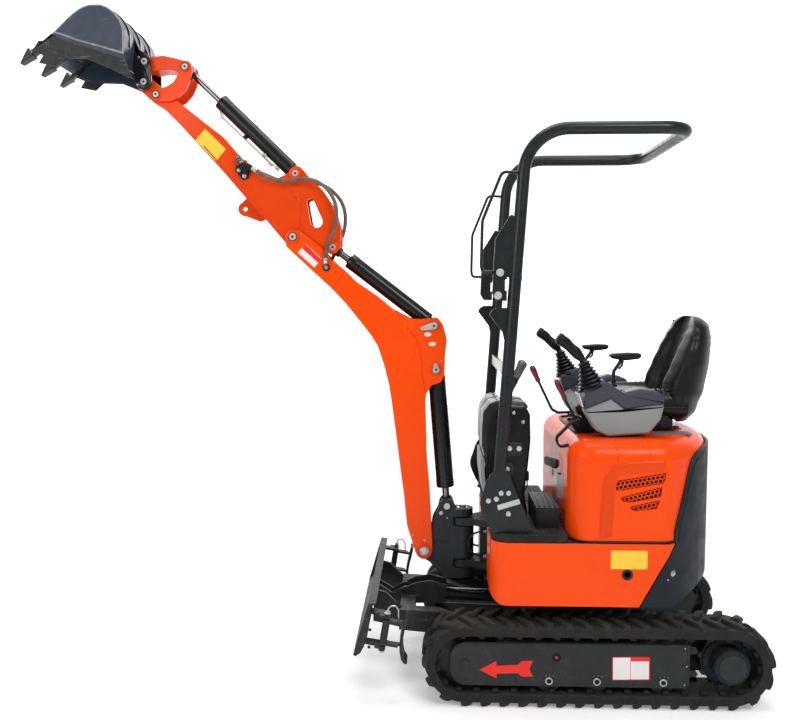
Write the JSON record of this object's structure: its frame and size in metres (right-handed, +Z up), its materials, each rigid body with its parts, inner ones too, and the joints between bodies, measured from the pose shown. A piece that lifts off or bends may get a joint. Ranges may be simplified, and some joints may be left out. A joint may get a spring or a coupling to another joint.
{
  "type": "mini excavator",
  "caption": "Compact tracked excavator with slewing upper body, swinging boom, arm, bucket, dozer blade with folding wings, and an open two-post roll frame over the seat",
  "frame": {"origin": "on the ground, on the slew axis", "axes": "+X forward along the machine, +Y the machine's left, +Z up"},
  "size_m": [2.9459, 0.932, 2.719],
  "materials": {
    "track_rubber": "matt moulded",
    "frame_grey": "satin",
    "steel": "worn",
    "blade_grey": "worn satin",
    "casting_grey": "satin cast",
    "orange": "gloss",
    "link_orange": "gloss cast",
    "cylinder_black": "gloss",
    "rod_chrome": "polished",
    "bucket_slate": "worn",
    "counterweight_grey": "satin cast",
    "engine_block": "cast",
    "mat_rubber": "matt",
    "plastic_black": "grained",
    "plastic_slate": "grained",
    "tube_grey": "satin",
    "hose_sleeve": "woven sleeve",
    "seat_vinyl": "grained vinyl"
  },
  "bodies": {
    "undercarriage": {"left_track": "track_rubber", "right_track": "track_rubber", "track_frames": "frame_grey", "rollers_and_idlers": "steel", "drive_sprockets": "steel", "carbody": "frame_grey", "slew_ring": "steel"},
    "blade": {"dozer_blade": "blade_grey", "blade_arms": "blade_grey"},
    "wing_left": {"blade_wing_left": "blade_grey"},
    "wing_right": {"blade_wing_right": "blade_grey"},
    "blade_barrel": {"blade_cylinder_barrel": "cylinder_black"},
    "blade_rod": {"blade_cylinder_rod": "rod_chrome"},
    "upper": {"upper_frame": "frame_grey", "side_skirts": "orange", "counterweight": "counterweight_grey", "engine_hood": "orange", "engine": "engine_block", "floor_mat": "mat_rubber", "step_box": "plastic_black", "front_console": "plastic_slate", "rops_posts": "tube_grey", "rops_hoop": "tube_grey", "seat_cushion": "seat_vinyl", "seat_back": "seat_vinyl", "consoles": "plastic_slate", "joysticks": "plastic_black", "levers": "plastic_black", "swing_hose_left": "hose_sleeve", "swing_hose_right": "hose_sleeve"},
    "king_post": {"swing_bracket": "casting_grey"},
    "boom": {"boom": "orange"},
    "boom_barrel": {"boom_cylinder_barrel": "cylinder_black"},
    "boom_rod": {"boom_cylinder_rod": "rod_chrome"},
    "arm_barrel": {"arm_cylinder_barrel": "cylinder_black"},
    "arm_rod": {"arm_cylinder_rod": "rod_chrome"},
    "arm": {"arm": "orange", "aux_ports": "cylinder_black", "aux_hose_left": "hose_sleeve", "aux_hose_right": "hose_sleeve"},
    "bucket_barrel": {"bucket_cylinder_barrel": "cylinder_black"},
    "bucket_rod": {"bucket_cylinder_rod": "rod_chrome"},
    "guide": {"guide_links": "link_orange"},
    "link": {"bucket_link": "link_orange"},
    "bucket": {"bucket": "bucket_slate"}
  },
  "joints": [
    {"name": "slew", "type": "hinge", "parent": "undercarriage", "child": "upper", "pos_m": [0, 0, 0.3445], "axis": [0, 0, 1], "continuous": true},
    {"name": "boom_swing", "type": "hinge", "parent": "upper", "child": "king_post", "pos_m": [0.5, 0, 0.52], "axis": [0, 0, 1], "range_deg": [-55, 55]},
    {"name": "boom_lift", "type": "hinge", "parent": "king_post", "child": "boom", "pos_m": [0.665, 0, 0.492], "axis": [0, -1, 0], "range_deg": [-88, 7]},
    {"name": "arm_crowd", "type": "hinge", "parent": "boom", "child": "arm", "pos_m": [1.213, 0, 1.817], "axis": [0, 1, 0], "range_deg": [-3, 105]},
    {"name": "bucket_curl", "type": "hinge", "parent": "arm", "child": "bucket", "pos_m": [1.821, 0, 2.45], "axis": [0, 1, 0], "range_deg": [-50, 100]},
    {"name": "blade_lift", "type": "hinge", "parent": "undercarriage", "child": "blade", "pos_m": [0.3, 0, 0.15], "axis": [0, -1, 0], "range_deg": [-33, 4]},
    {"name": "wing_left_fold", "type": "hinge", "parent": "blade", "child": "wing_left", "pos_m": [0.827, 0.452, 0.201], "axis": [0.1612, 0, -0.9869], "range_deg": [0, 180]},
    {"name": "wing_right_fold", "type": "hinge", "parent": "blade", "child": "wing_right", "pos_m": [0.827, -0.452, 0.201], "axis": [-0.1612, 0, 0.9869], "range_deg": [0, 180]},
    {"name": "boom_cylinder_pivot", "type": "hinge", "parent": "boom", "child": "boom_barrel", "pos_m": [0.616, 0, 1.265], "axis": [0, 1, 0], "range_deg": [-0.92, 8.13]},
    {"name": "boom_cylinder_stroke", "type": "slide", "parent": "boom_barrel", "child": "boom_rod", "axis": [-0.0821, 0, -0.9966], "range_m": [-0.02267, 0.27926]},
    {"name": "arm_cylinder_pivot", "type": "hinge", "parent": "boom", "child": "arm_barrel", "pos_m": [0.625, 0, 1.448], "axis": [0, 1, 0], "range_deg": [-8.82, 0.54]},
    {"name": "arm_cylinder_stroke", "type": "slide", "parent": "arm_barrel", "child": "arm_rod", "axis": [0.7921, 0, 0.6104], "range_m": [-0.00767, 0.25157]},
    {"name": "bucket_cylinder_pivot", "type": "hinge", "parent": "arm", "child": "bucket_barrel", "pos_m": [1.202, 0, 2.079], "axis": [0, 1, 0], "range_deg": [-1.55, 2.81]},
    {"name": "bucket_cylinder_stroke", "type": "slide", "parent": "bucket_barrel", "child": "bucket_rod", "axis": [0.7206, 0, 0.6934], "range_m": [-0.07852, 0.15653]},
    {"name": "guide_link_pivot", "type": "hinge", "parent": "arm", "child": "guide", "pos_m": [1.774, 0, 2.401], "axis": [0, 1, 0], "range_deg": [-30.38, 60.46]},
    {"name": "bucket_link_pivot", "type": "hinge", "parent": "bucket", "child": "link", "pos_m": [1.817, 0, 2.532], "axis": [0, 1, 0], "range_deg": [-48.79, 24.55]},
    {"name": "blade_cylinder_pivot", "type": "hinge", "parent": "undercarriage", "child": "blade_barrel", "pos_m": [0.3, 0, 0.272], "axis": [0, -1, 0], "range_deg": [-31.64, 4.1]},
    {"name": "blade_cylinder_stroke", "type": "slide", "parent": "blade_barrel", "child": "blade_rod", "axis": [0.9995, 0, 0.0322], "range_m": [-0.00876, 0.06864]}
  ],
  "couplings": [
    {"joint": "boom_cylinder_pivot", "follows": "boom_lift", "ratio": -0.089},
    {"joint": "boom_cylinder_stroke", "follows": "boom_lift", "m_per_rad": -0.1815},
    {"joint": "arm_cylinder_pivot", "follows": "arm_crowd", "ratio": -0.0811},
    {"joint": "arm_cylinder_stroke", "follows": "arm_crowd", "m_per_rad": 0.137},
    {"joint": "bucket_cylinder_pivot", "follows": "bucket_curl", "ratio": 0.0251},
    {"joint": "bucket_cylinder_stroke", "follows": "bucket_curl", "m_per_rad": 0.0894},
    {"joint": "guide_link_pivot", "follows": "bucket_curl", "ratio": 0.6016},
    {"joint": "bucket_link_pivot", "follows": "bucket_curl", "ratio": -0.4849},
    {"joint": "blade_cylinder_pivot", "follows": "blade_lift", "ratio": 0.9498},
    {"joint": "blade_cylinder_stroke", "follows": "blade_lift", "m_per_rad": -0.1183}
  ]
}
